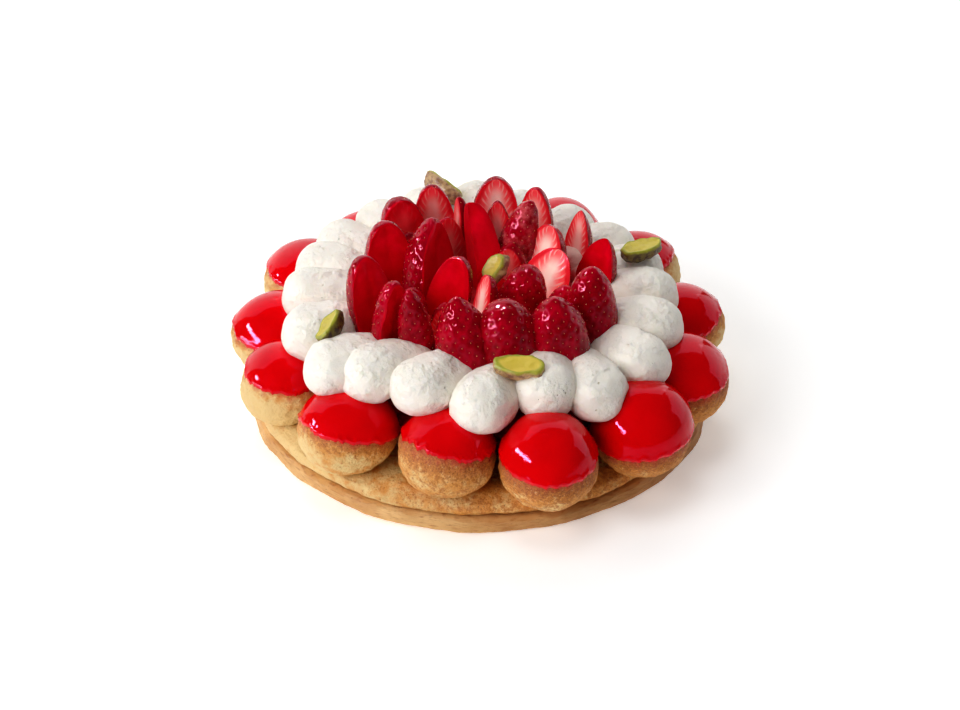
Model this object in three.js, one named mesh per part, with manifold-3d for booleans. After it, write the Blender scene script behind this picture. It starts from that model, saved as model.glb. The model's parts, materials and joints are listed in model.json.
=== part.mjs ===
// A saint-honore cake: a round of flaky pastry with a ring of choux piped on its rim, thirteen glazed
// puffs seated on the ring, a crown of piped cream and a rosette of cut strawberries with pistachios.
// Millimetres, +Z up. The origin is the centre of the flat underside.
import * as THREE from 'three';
import { mergeVertices } from 'three/addons/utils/BufferGeometryUtils.js';
import Module from 'manifold-3d';

const wasm = await Module();
wasm.setup();

// ---------- driving dimensions ----------

const GAP = 0.3; // clearance between pieces that touch

const BASE = { radius: 90.5, height: 6.5, bevel: 1, ripple: 0.9, segments: 40 };

const RING = { inner: 60, outer: 90.2, height: 8, lumps: 0.8, segments: 30 };

// A puff's crown and belly are its heights above and below its widest level, its equator.
const PUFF = { equator: 26, crown: 17.2, belly: 14, lumps: 0.035, segments: 14, steps: 6 };

const BED = { radius: 57, level: 44.5, dome: 2.5, segments: 18 };

// The crown of dollops is centred a little towards the front of the cake. A dollop sags: its
// underside is squared off, and under the head it runs out by the slump.
const DOLLOP = {
  centre: [0.5, -3.5],
  reach: 64.5,
  level: 47.6,
  head: 12.5,
  width: 23.4,
  height: 21,
  tail: 27,
  tilt: 5,
  lumps: 0.05,
  slump: 2.5,
  square: 0.25,
  segments: 8,
  steps: 6,
};

// A strawberry is hulled flat at its stalk end, widest at the shoulder and blunt at the point.
const BERRY = { sunk: 3, hull: 0.8, shoulder: 0.3, lumps: 0.05, segments: 9, steps: 4 };

// A pistachio kernel's cut is how far above its middle the flat top lies, as a share of its height.
const NUT = { width: 9.5, height: 8.5, cut: 0.28, lumps: 0.06, segments: 8, steps: 5 };

// How full an oval end is: 1 is round, less is blunter and more is sharper.
const FULLNESS = { belly: 0.78, crown: 0.95, head: 0.8, tail: 1.2, nut: 0.7 };

// Every kind of piece is uneven in its own way, and so is each copy of it.
const SEED = { base: 1, ring: 5, puff: 11, dollop: 31, berry: 51, nut: 71 };

// Each puff: bearing from +X, distance from the centre, width across and how tall it is next to the rest.
const PUFFS = [
  { bearing: 150.5, reach: 80, width: 36.6, tall: 1 },
  { bearing: 179.5, reach: 79.6, width: 36.6, tall: 1 },
  { bearing: 203.5, reach: 82, width: 34.4, tall: 0.94 },
  { bearing: 231.5, reach: 79.6, width: 37.4, tall: 1 },
  { bearing: 260.7, reach: 77, width: 36.9, tall: 1 },
  { bearing: 286.8, reach: 85.4, width: 37.2, tall: 1.14 },
  { bearing: 314.4, reach: 85.8, width: 37.6, tall: 1.12 },
  { bearing: 338.4, reach: 82, width: 37.8, tall: 1.02 },
  { bearing: 5, reach: 79.6, width: 34.6, tall: 1 },
  { bearing: 35.6, reach: 77.6, width: 36.6, tall: 1 },
  { bearing: 65.4, reach: 78.6, width: 35.6, tall: 1 },
  { bearing: 96, reach: 78, width: 36.8, tall: 1 },
  { bearing: 127.4, reach: 76, width: 36.6, tall: 1 },
];

// Each dollop of cream: bearing of its fat end, how far the piping stroke turns off the radius, and how
// far it was piped outwards and slumped down from the even crown.
const DOLLOPS = [
  { bearing: 2.6, turn: -8, out: -1.2, drop: 1 },
  { bearing: 18.5, turn: -6, out: -2.5, drop: 1.5 },
  { bearing: 36.5, turn: -4, out: -4, drop: 2 },
  { bearing: 56.4, turn: -8, out: -4, drop: 2.5 },
  { bearing: 76.4, turn: -10, out: -1, drop: 2.5 },
  { bearing: 92.7, turn: -12, out: 0, drop: 0 },
  { bearing: 110, turn: -10, out: 0, drop: 0.5 },
  { bearing: 127.8, turn: -8, out: -1, drop: 0 },
  { bearing: 146, turn: -4, out: 0, drop: 0.5 },
  { bearing: 160.5, turn: 0, out: 0, drop: 1.5 },
  { bearing: 178.7, turn: 2, out: 0, drop: 0 },
  { bearing: 201.1, turn: 6, out: 3, drop: 0 },
  { bearing: 221.2, turn: 3, out: 7, drop: 0.5 },
  { bearing: 232, turn: -16, out: 0.5, drop: -0.5 },
  { bearing: 250.5, turn: -26, out: -1.5, drop: -0.5 },
  { bearing: 270.4, turn: -26, out: 3, drop: 1.5 },
  { bearing: 291.3, turn: -26, out: 0, drop: 0 },
  { bearing: 305.8, turn: -22, out: 6.5, drop: 3 },
  { bearing: 325.4, turn: -13, out: 6, drop: 2 },
  { bearing: 343, turn: 3, out: 2, drop: 0 },
];

// Each strawberry piece stands in the cream with its point up. The foot is where its middle line
// meets the cream, point is the fullness of its upper end, face is the bearing that its cut face
// looks to, and keep is how far past the middle line the cut was made. A wedge has a second cut face
// at right angles to the first.
const BERRIES = [
  { foot: [-39.5, -25], tip: [-44.5, -21, 77], width: 19, point: 0.9, face: 310, keep: 2 },
  { foot: [-34, 2], tip: [-37, 5, 76], width: 20, point: 0.85, face: 290, keep: 2 },
  { foot: [-28, 27], tip: [-32.6, 25, 74], width: 20, point: 0.8, face: 290, keep: 2 },
  { foot: [-18, 38], tip: [-19.5, 35, 74], width: 17.5, point: 1, face: 275, keep: 1 },
  { foot: [6, 43], tip: [6, 40, 74.5], width: 19, point: 0.95, face: 275, keep: 1 },
  { foot: [22, 33], tip: [21.5, 30, 76], width: 15, point: 0.9, face: 250, keep: 1 },
  { foot: [37, 23], tip: [39, 19.5, 72], width: 13, point: 1.4, face: 220, keep: 0 },
  { foot: [42, 3], tip: [48, -1.5, 72], width: 17, point: 1.3, face: 225, keep: 0 },
  { foot: [41.5, -26], tip: [41.5, -26, 75.5], width: 21, point: 1.25, face: 150, keep: 7 },
  { foot: [30, -42], tip: [26.5, -46, 74.5], width: 24, point: 1.3, face: 120, keep: 8 },
  { foot: [11.5, -45], tip: [7.5, -46.5, 73], width: 25.5, point: 0.9, face: 100, keep: 8 },
  { foot: [-4, -46], tip: [-9.4, -45.5, 75], width: 22.5, point: 1.45, face: 85, keep: 7 },
  { foot: [-23, -38.5], tip: [-26.5, -40.5, 75], width: 14, point: 1.3, face: 45, keep: 4 },
  { foot: [-34.5, -35.5], tip: [-32, -36, 75.5], width: 15, point: 0.95, face: 315, keep: 2 },
  { foot: [-18.5, -6], tip: [-18.9, 5, 78], width: 23, point: 1.2, face: 325, keep: 3 },
  { foot: [-15.5, -17], tip: [-7.5, -17, 73.5], width: 17.5, point: 0.8, face: 235, keep: 1 },
  { foot: [1, -4], tip: [-4.5, 16, 78], width: 21, point: 0.85, face: 290, keep: 1, wedge: true },
  { foot: [-8, 27], tip: [-8.5, 27, 74], width: 12, point: 1.15, face: 200, keep: 1 },
  { foot: [6, 17], tip: [6.5, 19, 77], width: 13, point: 1.15, face: 270, keep: 1 },
  { foot: [10.5, 15.5], tip: [19.5, 17, 78], width: 16, point: 1, face: 40, keep: 3 },
  { foot: [21.5, 7], tip: [27, 9, 71.5], width: 20, point: 0.95, face: 225, keep: 0 },
  { foot: [19.5, -7], tip: [30.5, -2, 67.5], width: 20, point: 0.85, face: 240, keep: 0 },
  { foot: [14, -17], tip: [18.5, -17, 70], width: 20, point: 1, face: 60, keep: 5 },
  { foot: [-3, -28], tip: [2.5, -28, 72.5], width: 14, point: 0.75, face: 200, keep: 0 },
  { foot: [-26, -20], tip: [-26, -20, 62], width: 15, point: 1.15, face: 45, keep: 3 },
  { foot: [31, -20], tip: [32, -18, 62], width: 16, point: 1.15, face: 120, keep: 3 },
  { foot: [-14, 15], tip: [-13, 18, 70], width: 18, point: 1.15, face: 300, keep: 1 },
  { foot: [11, 4], tip: [12, 6, 66], width: 15, point: 1.15, face: 250, keep: 3 },
  { foot: [-27, 14], tip: [-28, 15, 65], width: 15, point: 1.15, face: 280, keep: 3 },
  { foot: [-13, -31], tip: [-13, -30, 62], width: 14, point: 1.15, face: 260, keep: 3 },
];

// Each pistachio: its middle, its length, the bearing of its long axis, and how it is tipped.
const NUTS = [
  { at: [14, -66, 58], length: 18.5, bearing: 352, pitch: 0, roll: 20 },
  { at: [-56, -40, 57.5], length: 14, bearing: 58, pitch: 30, roll: -35 },
  { at: [62.5, 11, 59.5], length: 18, bearing: 20, pitch: 5, roll: 0 },
  { at: [-15, 56, 60], length: 18.5, bearing: 322, pitch: -15, roll: -65 },
  { at: [5.5, -7.5, 62.5], length: 13, bearing: 30, pitch: 50, roll: 0 },
];

// ---------- finishes ----------

const finish = (color, roughness) => new THREE.MeshStandardMaterial({ color, roughness, metalness: 0 });
const PASTRY = { base: 0xb98550, ring: 0xdda35c, puff: 0xe0b068 };
const CREAM = 0xf2efe8;
const FRUIT = 0xb80a18;
const NUT_GREEN = 0xb9bb3c;

// ---------- small helpers ----------

const rad = THREE.MathUtils.degToRad;

/** A smooth uneven value between about -1 and 1 at a point, different for each seed. */
function uneven(x, y, z, seed) {
  const a = Math.sin(1.7 * x + 2.1 * seed + 0.6 * y);
  const b = Math.sin(2.3 * y + 3.7 * seed + 0.8 * z);
  const c = Math.sin(1.9 * z + 1.3 * seed + 0.7 * x);
  return (a + b + c) / 3;
}

/** Moves each vertex of a geometry by a function of its position. */
function reshape(geometry, move) {
  const position = geometry.attributes.position;
  const point = new THREE.Vector3();
  for (let i = 0; i < position.count; i += 1) {
    point.fromBufferAttribute(position, i);
    move(point);
    position.setXYZ(i, point.x, point.y, point.z);
  }
  return geometry;
}

/** A lathe turned about +Z from [radius, height] pairs, with its seam and poles welded. */
function turned(profile, segments) {
  const points = profile.map(([radius, height]) => new THREE.Vector2(radius, height));
  const geometry = new THREE.LatheGeometry(points, segments);
  geometry.rotateX(Math.PI / 2);
  return welded(geometry);
}

/** The same geometry with only its positions, shared between neighbouring faces. */
function welded(geometry) {
  geometry.deleteAttribute('normal');
  geometry.deleteAttribute('uv');
  return mergeVertices(geometry, 1e-4);
}

/** Half an oval as [across, along] pairs, each end with its own reach and fullness. */
function ovalProfile(half, steps, low, high) {
  const profile = [[0, -low.reach]];
  for (let i = 1; i < steps; i += 1) {
    const angle = Math.PI * (i / steps - 0.5);
    const end = angle < 0 ? low : high;
    profile.push([half * Math.cos(angle) ** end.fullness, end.reach * Math.sin(angle)]);
  }
  profile.push([0, high.reach]);
  return profile;
}

/** A closed geometry as a solid that can be joined and cut. */
function solid(geometry) {
  return new wasm.Manifold(new wasm.Mesh({
    numProp: 3,
    vertProperties: new Float32Array(geometry.attributes.position.array),
    triVerts: new Uint32Array(geometry.index.array),
  }));
}

/** The largest piece of a solid that a cut may have left with loose scraps. */
function largest(body) {
  const pieces = body.decompose();
  return pieces.reduce((best, piece) => (piece.volume() > best.volume() ? piece : best));
}

/** A solid as a named mesh whose own origin is at the given place. */
function node(name, body, material, origin = [0, 0, 0]) {
  const { vertProperties, triVerts } = body.getMesh();
  const geometry = new THREE.BufferGeometry();
  geometry.setAttribute('position', new THREE.BufferAttribute(new Float32Array(vertProperties), 3));
  geometry.setIndex(new THREE.BufferAttribute(new Uint32Array(triVerts), 1));
  geometry.translate(-origin[0], -origin[1], -origin[2]);
  geometry.computeVertexNormals();
  const mesh = new THREE.Mesh(geometry, material);
  mesh.name = name;
  mesh.position.set(...origin);
  return mesh;
}

/** A two-digit number for a name. */
const two = (index) => String(index + 1).padStart(2, '0');

// ---------- pastry ----------

/** The flaky round underneath: flat below and above, with an uneven bevelled edge. */
function pastryBase() {
  const { radius, height, bevel, ripple } = BASE;
  const profile = [
    [0, 0],
    [radius - bevel, 0],
    [radius, bevel],
    [radius + 0.4, height / 2],
    [radius, height - bevel],
    [radius - 2 * bevel, height],
    [0, height],
  ];
  const geometry = turned(profile, BASE.segments);
  reshape(geometry, (point) => {
    const distance = Math.hypot(point.x, point.y);
    if (distance < 1) {
      return;
    }
    const push = ripple * uneven(point.x / 9, point.y / 9, point.z / 2, SEED.base);
    point.x *= 1 + push / distance;
    point.y *= 1 + push / distance;
  });
  return solid(geometry);
}

/** The piped choux ring on the rim of the round, before the puffs press into it. */
function chouxRing() {
  const { inner, outer, height, lumps } = RING;
  const floor = BASE.height + GAP;
  const middle = (inner + outer) / 2;
  const half = (outer - inner) / 2;
  const profile = [
    [inner, floor],
    [outer - 2, floor],
    [outer, floor + height * 0.35],
    [outer - 1, floor + height * 0.7],
    [middle + half * 0.62, floor + height],
    [middle - half * 0.5, floor + height],
    [inner, floor + height * 0.8],
    [inner, floor],
  ];
  const geometry = turned(profile, RING.segments);
  reshape(geometry, (point) => {
    const distance = Math.hypot(point.x, point.y);
    const rise = (point.z - floor) / height;
    const push = lumps * uneven(point.x / 7, point.y / 7, point.z / 4, SEED.ring);
    if (distance > middle) {
      point.x *= 1 + push / distance;
      point.y *= 1 + push / distance;
    }
    point.z += rise * push * 0.8;
  });
  return solid(geometry);
}

/** One puff, grown by a clearance: a dome above its equator and a flatter belly below. */
function puff(spec, index, grow = 0) {
  const belly = { reach: PUFF.belly * spec.tall + grow, fullness: FULLNESS.belly };
  const crown = { reach: PUFF.crown * spec.tall + grow, fullness: FULLNESS.crown };
  const geometry = turned(ovalProfile(spec.width / 2 + grow, PUFF.steps, belly, crown), PUFF.segments);
  reshape(geometry, (point) => {
    const lump = PUFF.lumps * uneven(point.x / 9, point.y / 9, point.z / 8, SEED.puff + index);
    point.multiplyScalar(1 + lump);
  });
  geometry.translate(...puffCentre(spec));
  return solid(geometry);
}

/** The middle of a puff, at its equator. */
function puffCentre({ bearing, reach }) {
  const angle = rad(bearing);
  return [reach * Math.cos(angle), reach * Math.sin(angle), PUFF.equator];
}

// ---------- cream ----------

/** The cream that fills the ring up to the bed on which the strawberries stand. */
function creamBed() {
  const floor = BASE.height + GAP;
  const ringTop = floor + RING.height + 1;
  const throat = RING.inner * Math.cos(Math.PI / RING.segments) - GAP;
  const profile = [
    [0, floor],
    [throat, floor],
    [throat, ringTop],
    [BED.radius - 2, ringTop + 6],
    [BED.radius, BED.level - 10],
    [BED.radius - 3, BED.level - 2],
    [BED.radius * 0.7, BED.level + BED.dome * 0.5],
    [BED.radius * 0.35, BED.level + BED.dome],
    [0, BED.level + BED.dome],
  ];
  return solid(turned(profile, BED.segments));
}

/** One piped dollop: a fat round head that tapers into a tail towards the middle of the cake. */
function dollop(spec, index) {
  const tail = { reach: DOLLOP.tail, fullness: FULLNESS.tail };
  const head = { reach: DOLLOP.head, fullness: FULLNESS.head };
  const geometry = turned(ovalProfile(DOLLOP.width / 2, DOLLOP.steps, tail, head), DOLLOP.segments);
  geometry.rotateY(Math.PI / 2);
  reshape(geometry, (point) => {
    point.z *= DOLLOP.height / DOLLOP.width;
    const deep = THREE.MathUtils.clamp(-2 * point.z / DOLLOP.height, 0, 1);
    point.y *= (1 - 0.9 * deep ** 2) ** -DOLLOP.square;
    point.x += DOLLOP.slump * deep * Math.max(point.x, 0) / DOLLOP.head;
    const lump = DOLLOP.lumps * uneven(point.x / 8, point.y / 6, point.z / 6, SEED.dollop + index);
    point.y *= 1 + lump;
    point.z *= 1 + lump;
  });
  geometry.rotateY(rad(-DOLLOP.tilt));
  geometry.rotateZ(rad(spec.bearing + spec.turn));
  const angle = rad(spec.bearing);
  const reach = DOLLOP.reach + spec.out;
  const x = DOLLOP.centre[0] + reach * Math.cos(angle);
  const y = DOLLOP.centre[1] + reach * Math.sin(angle);
  geometry.translate(x, y, DOLLOP.level - spec.drop);
  return solid(geometry);
}

// ---------- fruit and nuts ----------

/** The outline of a whole strawberry along its middle line, from its hulled end up to its point. */
function berryProfile(width, length, fullness) {
  const { steps, hull } = BERRY;
  const shoulder = BERRY.shoulder * length;
  const profile = [[0, 0], [hull * width / 2, 0]];
  for (let i = 0; i < steps; i += 1) {
    const angle = (Math.PI / 2) * (i / steps);
    const across = (width / 2) * Math.cos(angle) ** fullness;
    profile.push([across, shoulder + Math.sin(angle) * (length - shoulder)]);
  }
  profile.push([0, length]);
  return profile;
}

/** Where a strawberry piece stands: its own +Z runs to the point, its own +X out of the cut face. */
function berryFrame(spec) {
  const foot = new THREE.Vector3(...spec.foot, BED.level);
  const tip = new THREE.Vector3(...spec.tip);
  const up = tip.clone().sub(foot).normalize();
  const start = foot.clone().addScaledVector(up, -BERRY.sunk);
  const heading = new THREE.Vector3(Math.cos(rad(spec.face)), Math.sin(rad(spec.face)), 0);
  const side = up.clone().cross(heading).normalize();
  const out = side.clone().cross(up);
  const matrix = new THREE.Matrix4().makeBasis(out, side, up).setPosition(start);
  return { matrix, length: tip.distanceTo(start), start };
}

/** One cut strawberry piece, grown by a clearance. */
function berry(spec, index, grow = 0) {
  const { matrix, length } = berryFrame(spec);
  const profile = berryProfile(spec.width + 2 * grow, length + 2 * grow, spec.point);
  const whole = turned(profile, BERRY.segments);
  whole.translate(0, 0, -grow);
  reshape(whole, (point) => {
    const lump = BERRY.lumps * uneven(point.x / 7, point.y / 7, point.z / 9, SEED.berry + index);
    point.x *= 1 + lump;
    point.y *= 1 + lump;
  });
  const piece = solid(whole.applyMatrix4(matrix));
  const size = 3 * length;
  const away = size / 2 + spec.keep + grow;
  const halved = piece.subtract(cutter(size, [away, 0, 0], matrix));
  return spec.wedge ? halved.subtract(cutter(size, [0, -away, 0], matrix)) : halved;
}

/** A block whose near face is where a strawberry is cut. */
function cutter(size, place, matrix) {
  const block = new THREE.BoxGeometry(size, size, size);
  block.translate(...place);
  return solid(welded(block).applyMatrix4(matrix));
}

/** One pistachio kernel, grown by a clearance: an uneven oval with a flat cut top. */
function nut(spec, index, grow = 0) {
  const end = { reach: spec.length / 2 + grow, fullness: FULLNESS.nut };
  const geometry = turned(ovalProfile(NUT.width / 2 + grow, NUT.steps, end, end), NUT.segments);
  geometry.rotateY(Math.PI / 2);
  reshape(geometry, (point) => {
    point.z = Math.min(point.z * NUT.height / NUT.width, NUT.cut * NUT.height + grow);
    const lump = NUT.lumps * uneven(point.x / 4, point.y / 3, point.z / 3, SEED.nut + index);
    point.multiplyScalar(1 + lump);
  });
  geometry.rotateX(rad(spec.roll));
  geometry.rotateY(rad(-spec.pitch));
  geometry.rotateZ(rad(spec.bearing));
  geometry.translate(...spec.at);
  return solid(geometry);
}

// ---------- assembly ----------

/** Pieces made in turn, each cut back so that it clears the ones before it, and the room they take. */
function clearInTurn(specs, make) {
  const pieces = [];
  let room = null;
  specs.forEach((spec, index) => {
    const piece = make(spec, index);
    pieces.push(room ? largest(piece.subtract(room)) : piece);
    const grown = make(spec, index, GAP);
    room = room ? room.add(grown) : grown;
  });
  return { pieces, room };
}

const puffs = clearInTurn(PUFFS, puff);
const berries = clearInTurn(BERRIES, berry);
const nuts = NUTS.map((spec, index) => largest(nut(spec, index).subtract(berries.room)));

const piped = DOLLOPS.reduce((cream, spec, index) => cream.add(dollop(spec, index)), creamBed());
const cleared = piped.subtract(puffs.room).subtract(berries.room);
const cream = NUTS.reduce((rest, spec, index) => rest.subtract(nut(spec, index, GAP)), cleared);

const cake = new THREE.Group();
cake.add(node('pastry_base', pastryBase(), finish(PASTRY.base, 0.8)));
cake.add(node('choux_ring', largest(chouxRing().subtract(puffs.room)), finish(PASTRY.ring, 0.7)));
cake.add(node('cream', largest(cream), finish(CREAM, 0.55)));
puffs.pieces.forEach((piece, index) => {
  cake.add(node(`puff_${two(index)}`, piece, finish(PASTRY.puff, 0.6), puffCentre(PUFFS[index])));
});
berries.pieces.forEach((piece, index) => {
  const foot = berryFrame(BERRIES[index]).start.toArray();
  cake.add(node(`strawberry_${two(index)}`, piece, finish(FRUIT, 0.3), foot));
});
nuts.forEach((piece, index) => {
  cake.add(node(`pistachio_${two(index)}`, piece, finish(NUT_GREEN, 0.5), NUTS[index].at));
});

export default cake;
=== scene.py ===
# %% [markdown]
# # A strawberry saint-honore
# The cake is a round of flaky pastry with a ring of choux piped on its rim. Thirteen glazed puffs sit
# on the ring, vanilla cream is piped inside and over them, and cut strawberries stand in the cream.
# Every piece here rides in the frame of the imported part, in metres with +Z up.

# %% Open the frame
import json
import math

import bpy
import numpy as np
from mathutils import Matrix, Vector, noise

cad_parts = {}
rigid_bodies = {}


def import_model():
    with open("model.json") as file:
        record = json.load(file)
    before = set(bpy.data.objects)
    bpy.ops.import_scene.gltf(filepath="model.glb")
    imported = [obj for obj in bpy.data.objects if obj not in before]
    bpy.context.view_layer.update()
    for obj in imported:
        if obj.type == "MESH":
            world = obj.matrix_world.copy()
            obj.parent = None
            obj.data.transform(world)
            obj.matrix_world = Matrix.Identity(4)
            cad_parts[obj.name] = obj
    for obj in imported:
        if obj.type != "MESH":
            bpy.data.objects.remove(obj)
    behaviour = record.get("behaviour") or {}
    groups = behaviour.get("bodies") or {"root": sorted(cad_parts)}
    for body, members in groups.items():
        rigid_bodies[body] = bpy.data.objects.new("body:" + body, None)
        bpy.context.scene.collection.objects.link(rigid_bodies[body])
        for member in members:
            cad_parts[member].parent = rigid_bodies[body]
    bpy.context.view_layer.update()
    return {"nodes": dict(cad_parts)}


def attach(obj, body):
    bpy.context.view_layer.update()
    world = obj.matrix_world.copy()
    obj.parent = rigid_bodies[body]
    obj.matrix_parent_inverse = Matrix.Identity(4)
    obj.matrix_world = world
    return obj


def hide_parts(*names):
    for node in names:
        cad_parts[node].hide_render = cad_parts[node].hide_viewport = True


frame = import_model()
scene = bpy.context.scene
print(len(frame["nodes"]), "nodes in the frame")

# %% [markdown]
# ## Sizes
# The sizes are those of the part, in millimetres, so that each finer piece keeps the form of the
# solid that it stands for. Each is turned into metres once, when a mesh is made. Angles are
# bearings from +X, in degrees. Every lumpy form has its own seed, so the cake is always the same.

# %% Sizes of the cake's pieces
MM = 0.001
BASE = {"radius": 90.5, "height": 6.5, "bevel": 1, "ripple": 0.9}
RING = {"inner": 60, "outer": 90.2, "height": 8, "lumps": 0.8, "floor": 6.8}
PUFF = {"equator": 26, "crown": 17.2, "belly": 14, "lumps": 0.035}
BED = {"radius": 57, "level": 44.5, "dome": 2.5}
DOLLOP = {"centre": (0.5, -3.5), "reach": 64.5, "level": 47.6, "head": 12.5, "width": 23.4}
DOLLOP.update({"height": 21, "tail": 27, "tilt": 5, "lumps": 0.05, "slump": 2.5, "square": 0.25})
BERRY = {"sunk": 3, "hull": 0.8, "shoulder": 0.3, "lumps": 0.05}
NUT = {"width": 9.5, "height": 8.5, "cut": 0.28, "lumps": 0.06}
FULLNESS = {"belly": 0.78, "crown": 0.95, "head": 0.8, "tail": 1.2, "nut": 0.7}
SEED = {"base": 1, "ring": 5, "puff": 11, "dollop": 31, "berry": 51, "nut": 71}

# How many points go around each piece, and along it from end to end.
AROUND = {"base": 640, "ring": 520, "puff": 150, "glaze": 220, "dollop": 64, "bed": 96, "nut": 64}
ALONG = {"puff": 84, "glaze": 60, "dollop": 54, "nut": 44}
print("sizes of", len(SEED), "kinds of piece")

# %% [markdown]
# ## Shaping
# Dough, cream and fruit are all uneven round shapes. They could be sculpted, or made from a sphere
# with a Displace modifier. Here each is made as rings of points about a middle line, closed by one
# point at each end, and then pushed about by smooth noise. That keeps every form tied to the sizes
# above, and working with whole arrays of points keeps it quick.

# %% Smooth noise


def uneven(points, sizes, seed):
    """A smooth uneven value of about -1 to 1, with lumps of so many millimetres along each axis."""
    x, y, z = (points[..., axis] / size for axis, size in enumerate(sizes))
    a = np.sin(1.7 * x + 2.1 * seed + 0.6 * y)
    b = np.sin(2.3 * y + 3.7 * seed + 0.8 * z)
    c = np.sin(1.9 * z + 1.3 * seed + 0.7 * x)
    return (a + b + c) / 3


def grain(points, size, seed=0, stretch=(1, 1, 1)):
    """Random noise of about -1 to 1 at each point, with features of a size in millimetres."""
    spread = np.reshape(points, (-1, 3)) / (np.array(stretch) * size) + (17.3 * seed, 5.1 * seed, 9.7)
    values = [noise.noise(Vector(p)) for p in spread]
    return np.reshape(values, np.shape(points)[:-1])


print("noise at the origin:", round(float(grain(np.zeros(3), 1, 1)), 3))

# %% Skins over rings of points


def closed(start, rings, end):
    """Points and faces of a closed skin over rings of points, with a point at each end."""
    count, around, _ = rings.shape
    points = np.vstack([[start], rings.reshape(-1, 3), [end]])
    j = np.arange(around)
    after = (j + 1) % around
    faces = [(0, 1 + b, 1 + a) for a, b in zip(j, after)]
    for i in range(count - 1):
        low = 1 + i * around
        high = low + around
        faces += list(zip(low + j, low + after, high + after, high + j))
    top = 1 + (count - 1) * around
    last = len(points) - 1
    faces += [(top + a, top + b, last) for a, b in zip(j, after)]
    return points, [tuple(int(v) for v in face) for face in faces]


def looped(rings):
    """Points and faces of a ring-shaped skin: the last ring of points joins the first."""
    count, around, _ = rings.shape
    j = np.arange(around)
    after = (j + 1) % around
    faces = []
    for i in range(count):
        low = i * around
        high = ((i + 1) % count) * around
        faces += list(zip(low + j, low + after, high + after, high + j))
    return rings.reshape(-1, 3), [tuple(int(v) for v in face) for face in faces]


def full_turn(count):
    """So many bearings, evenly spread over one turn."""
    return np.linspace(0, 2 * math.pi, count, endpoint=False)


def toward(bearing):
    """One step along a bearing in degrees, as X and Y."""
    return np.array([math.cos(math.radians(bearing)), math.sin(math.radians(bearing))])


def rising(count):
    """Angles from just above the lowest pole to just below the highest."""
    return np.linspace(-math.pi / 2, math.pi / 2, count)[1:-1]


def turned(profile, around):
    """Rings of points from rows of radius and height."""
    turn = full_turn(around)
    radius, height = np.array(profile)[:, 0:1], np.array(profile)[:, 1:2]
    flat = np.ones_like(turn)
    return np.stack([radius * np.cos(turn), radius * np.sin(turn), height * flat], -1)


def finer(profile, counts, rounds=0):
    """A profile with each of its legs cut in so many steps, and its corners rounded off."""
    rows = []
    for (a, b), count in zip(zip(profile[:-1], profile[1:]), counts):
        share = np.linspace(0, 1, count, endpoint=False)[:, None]
        rows.append(np.array(a) * (1 - share) + np.array(b) * share)
    rows = np.vstack(rows + [[profile[-1]]])
    for _ in range(rounds):
        rows[1:-1] = rows[1:-1] / 2 + (rows[:-2] + rows[2:]) / 4
    return rows


def spun(points, about, degrees):
    """Points turned about one of the axes X, Y or Z."""
    a, b = {"X": (1, 2), "Y": (2, 0), "Z": (0, 1)}[about]
    c, s = math.cos(math.radians(degrees)), math.sin(math.radians(degrees))
    out = np.array(points, dtype=float)
    out[..., a] = points[..., a] * c - points[..., b] * s
    out[..., b] = points[..., a] * s + points[..., b] * c
    return out


print("a turned cone has rings of shape", turned(finer([(2, 0), (0, 1)], (4,)), 8).shape)

# %% [markdown]
# ## Pieces
# A finished piece is a plain mesh at the origin. It rides on the cake's one body and stands for
# the node whose form it keeps. Modifiers may build a piece, and their result is frozen at the end.

# %% Meshes from points


def shown(name, data):
    """A new object in the scene."""
    obj = bpy.data.objects.new(name, data)
    scene.collection.objects.link(obj)
    return obj


def made(name, points, faces, finish=None):
    """A smooth-shaded mesh object from points in millimetres."""
    mesh = bpy.data.meshes.new(name)
    mesh.from_pydata((np.asarray(points) * MM).tolist(), [], faces)
    if finish:
        mesh.materials.append(finish)
    mesh.shade_smooth()
    return shown(name, mesh)


def mark(obj, name, values):
    """Stores one number, or one vector, at each point of a mesh for its finish to read."""
    values = np.asarray(values, dtype=float)
    kind, key = ("FLOAT_VECTOR", "vector") if values.ndim == 2 else ("FLOAT", "value")
    obj.data.attributes.new(name, kind, "POINT").data.foreach_set(key, values.ravel())


def pushed(obj, amount):
    """Moves each point of a mesh along its normal by amount(points), in millimetres."""
    count = len(obj.data.vertices)
    points, normals = np.empty(count * 3), np.empty(count * 3)
    obj.data.vertices.foreach_get("co", points)
    obj.data.vertices.foreach_get("normal", normals)
    points, normals = points.reshape(-1, 3), normals.reshape(-1, 3)
    points += normals * amount(points / MM)[:, None] * MM
    obj.data.vertices.foreach_set("co", points.ravel())
    obj.data.update()


def frozen(obj):
    """Turns what an object's modifiers make into its own plain mesh."""
    graph = bpy.context.evaluated_depsgraph_get()
    result = obj.evaluated_get(graph)
    mesh = bpy.data.meshes.new_from_object(result, preserve_all_data_layers=True, depsgraph=graph)
    obj.modifiers.clear()
    obj.data = mesh
    return obj


def hand_over(obj, slot, *nodes):
    """The finished piece rides on the cake and stands for its nodes of the part."""
    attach(obj, "root")
    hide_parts(*nodes)
    return len(obj.data.polygons)


# %% [markdown]
# ## Finishes
# Nothing on a cake has one flat colour. A wrapped photograph would bring its own light and shade,
# so each finish lays a few colours over each other by noise of a size in millimetres, and adds a
# fine relief. The shorthand below keeps each finish down to the few lines that matter.

# %% A shorthand for finishes


def colour(screen):
    """A colour given as it looks on a screen, from 0 to 255, as light. Sockets pass unchanged."""
    if isinstance(screen, bpy.types.NodeSocket):
        return screen
    parts = [v / 255 for v in screen]
    return tuple(v / 12.92 if v < 0.04045 else ((v + 0.055) / 1.055) ** 2.4 for v in parts) + (1,)


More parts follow.
